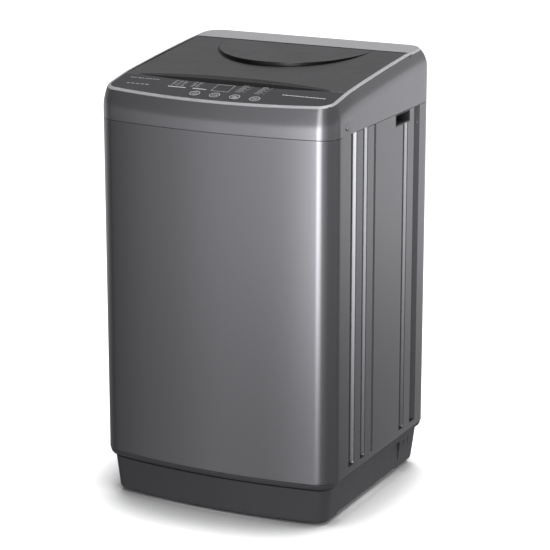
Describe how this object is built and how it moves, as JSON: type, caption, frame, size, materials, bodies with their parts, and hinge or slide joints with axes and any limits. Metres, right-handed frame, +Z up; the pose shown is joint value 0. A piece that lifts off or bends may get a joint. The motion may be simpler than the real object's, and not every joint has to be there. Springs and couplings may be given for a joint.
{
  "type": "top load washing machine",
  "caption": "Free-standing top load washing machine: grey steel cabinet on a dark plinth, sloping top with control panel and rear-hinged lid, hung tub, basket and impeller.",
  "frame": {"origin": "on the floor, under the middle of the machine's width and depth", "axes": "+Z up; front and control panel towards -Y; +X to the right seen from the front"},
  "size_m": [0.515, 0.4899, 0.8889],
  "materials": {
    "grey_paint": "satin metallic grey",
    "silver_plastic": "satin silver",
    "smoked_plastic": "smoked gloss",
    "black_plastic": "gloss black",
    "dark_plastic": "matt charcoal",
    "grey_plastic": "satin grey",
    "white_plastic": "satin white",
    "rubber": "matt",
    "zinc_steel": "zinc plated",
    "bright_steel": "polished",
    "cast_alloy": "as cast",
    "board_green": "matt",
    "grey_motor": "painted casting"
  },
  "bodies": {
    "cabinet": {"cabinet_shell": "grey_paint", "rear_panel": "zinc_steel", "base_plinth": "dark_plastic", "handle_cup_left": "grey_plastic", "handle_cup_right": "grey_plastic", "rear_foot_left": "rubber", "rear_foot_right": "rubber", "side_screw_left": "zinc_steel", "side_screw_right": "zinc_steel", "rear_screw_1": "zinc_steel", "rear_screw_2": "zinc_steel", "rear_screw_3": "zinc_steel", "rear_screw_4": "zinc_steel", "drain_outlet": "grey_plastic", "cord_gland": "rubber", "motor_capacitor": "white_plastic", "top_cover": "silver_plastic", "control_panel": "black_plastic", "display_window": "smoked_plastic", "control_board": "board_green", "water_valve": "white_plastic", "water_spout": "white_plastic", "level_sensor": "white_plastic", "lid_sensor": "black_plastic", "hanger_rod_front_left": "bright_steel", "hanger_rod_front_right": "bright_steel", "hanger_rod_rear_left": "bright_steel", "hanger_rod_rear_right": "bright_steel", "spring_front_left": "bright_steel", "spring_front_right": "bright_steel", "spring_rear_left": "bright_steel", "spring_rear_right": "bright_steel"},
    "foot_left": {"levelling_foot_left": "rubber"},
    "foot_right": {"levelling_foot_right": "rubber"},
    "lid": {"lid_panel": "smoked_plastic", "hinge_pin_left": "bright_steel", "hinge_pin_right": "bright_steel", "lid_magnet": "zinc_steel"},
    "power_button": {"button_power": "grey_plastic"},
    "start_button": {"button_start": "grey_plastic"},
    "program_button": {"button_program": "grey_plastic"},
    "level_button": {"button_level": "grey_plastic"},
    "tub": {"outer_tub": "white_plastic", "tub_ring": "white_plastic", "tub_seal": "rubber", "drive_plate": "zinc_steel", "gearbox": "zinc_steel", "motor": "grey_motor", "drive_belt": "rubber", "drain_pump": "white_plastic"},
    "basket": {"basket": "bright_steel", "basket_hub": "cast_alloy", "balance_ring": "white_plastic", "lint_filter": "white_plastic"},
    "impeller": {"impeller": "white_plastic", "impeller_screw": "bright_steel"},
    "drive_pulley": {"drive_pulley": "cast_alloy"},
    "motor_pulley": {"motor_pulley": "cast_alloy"}
  },
  "joints": [
    {"name": "lid_hinge", "type": "hinge", "parent": "cabinet", "child": "lid", "pos_m": [0, 0.1565, 0.87813], "axis": [-1, 0, 0], "range_deg": [0, 100]},
    {"name": "power_press", "type": "slide", "parent": "cabinet", "child": "power_button", "axis": [0, 0.1953, -0.9807], "range_m": [0, 0.0012], "stiffness_N_per_m": 500, "springref_m": -0.001},
    {"name": "start_press", "type": "slide", "parent": "cabinet", "child": "start_button", "axis": [0, 0.1953, -0.9807], "range_m": [0, 0.0012], "stiffness_N_per_m": 500, "springref_m": -0.001},
    {"name": "program_press", "type": "slide", "parent": "cabinet", "child": "program_button", "axis": [0, 0.1953, -0.9807], "range_m": [0, 0.0012], "stiffness_N_per_m": 500, "springref_m": -0.001},
    {"name": "level_press", "type": "slide", "parent": "cabinet", "child": "level_button", "axis": [0, 0.1953, -0.9807], "range_m": [0, 0.0012], "stiffness_N_per_m": 500, "springref_m": -0.001},
    {"name": "foot_left_level", "type": "slide", "parent": "cabinet", "child": "foot_left", "axis": [0, 0, 1], "range_m": [-0.012, 0]},
    {"name": "foot_right_level", "type": "slide", "parent": "cabinet", "child": "foot_right", "axis": [0, 0, 1], "range_m": [-0.012, 0]},
    {"name": "tub_bounce", "type": "slide", "parent": "cabinet", "child": "tub", "axis": [0, 0, 1], "range_m": [-0.03, 0.01], "stiffness_N_per_m": 10000, "springref_m": 0.02335, "deforming": ["spring_front_left", "spring_front_right", "spring_rear_left", "spring_rear_right"]},
    {"name": "basket_spin", "type": "hinge", "parent": "tub", "child": "basket", "pos_m": [0, 0, 0.3], "axis": [0, 0, 1], "continuous": true},
    {"name": "impeller_spin", "type": "hinge", "parent": "tub", "child": "impeller", "pos_m": [0, 0, 0.26], "axis": [0, 0, 1], "continuous": true},
    {"name": "drive_pulley_spin", "type": "hinge", "parent": "tub", "child": "drive_pulley", "pos_m": [0, 0, 0.1], "axis": [0, 0, 1], "continuous": true},
    {"name": "motor_pulley_spin", "type": "hinge", "parent": "tub", "child": "motor_pulley", "pos_m": [0, -0.135, 0.1], "axis": [0, 0, 1], "continuous": true}
  ],
  "couplings": [
    {"joint": "motor_pulley_spin", "follows": "drive_pulley_spin", "ratio": 2.5},
    {"joint": "impeller_spin", "follows": "drive_pulley_spin", "ratio": 0.2}
  ]
}
